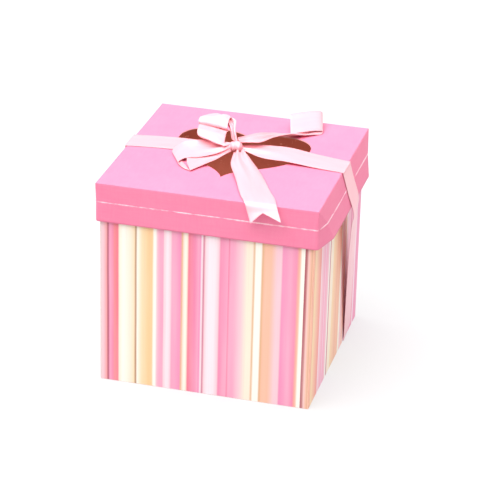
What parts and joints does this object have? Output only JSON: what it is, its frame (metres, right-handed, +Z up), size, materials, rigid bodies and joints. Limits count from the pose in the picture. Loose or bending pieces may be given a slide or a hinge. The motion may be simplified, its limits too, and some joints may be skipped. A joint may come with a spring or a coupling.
{
  "type": "folding gift box",
  "caption": "Square striped card gift box with a lift-off lid, heart-shaped window and satin ribbon tied in a bow.",
  "frame": {"origin": "middle of the underside of the base", "axes": "+Z up through the lid, -Y to the front face, +X to the right"},
  "size_m": [0.2426, 0.2322, 0.2413],
  "materials": {
    "pink_card": "smooth satin-coated card",
    "striped_paper": "smooth printed stripes",
    "kraft_board": "matt uncoated board",
    "satin_ribbon": "satin weave, soft sheen"
  },
  "bodies": {
    "box_body": {"base_glue_flap_back": "kraft_board", "base_glue_flap_left": "kraft_board", "base_glue_flap_right": "kraft_board", "body_back_panel": "kraft_board", "body_base_panel": "kraft_board", "body_front_panel": "kraft_board", "body_left_panel": "kraft_board", "body_right_panel": "kraft_board", "body_seam_flap": "kraft_board", "body_wrap_back": "striped_paper", "body_wrap_front": "striped_paper", "body_wrap_left": "striped_paper", "body_wrap_right": "striped_paper"},
    "base_insert": {"base_insert_board": "kraft_board"},
    "lid": {"bow_knot": "satin_ribbon", "bow_loop_back": "satin_ribbon", "bow_loop_left": "satin_ribbon", "bow_loop_right": "satin_ribbon", "bow_tail_front": "satin_ribbon", "bow_tail_left": "satin_ribbon", "lid_back_skirt": "pink_card", "lid_front_skirt": "pink_card", "lid_glue_tab_back_left": "kraft_board", "lid_glue_tab_back_right": "kraft_board", "lid_glue_tab_front_left": "kraft_board", "lid_glue_tab_front_right": "kraft_board", "lid_gusset_back_left": "pink_card", "lid_gusset_back_right": "pink_card", "lid_gusset_front_left": "pink_card", "lid_gusset_front_right": "pink_card", "lid_left_skirt": "pink_card", "lid_right_skirt": "pink_card", "lid_top_panel": "pink_card", "ribbon_left": "satin_ribbon", "ribbon_right": "satin_ribbon"}
  },
  "joints": [
    {"name": "lid_lift", "type": "slide", "parent": "box_body", "child": "lid", "axis": [0, 0, 1], "range_m": [0, 0.15]},
    {"name": "base_insert_lift", "type": "slide", "parent": "box_body", "child": "base_insert", "axis": [0, 0, 1], "range_m": [0, 0.19]}
  ]
}
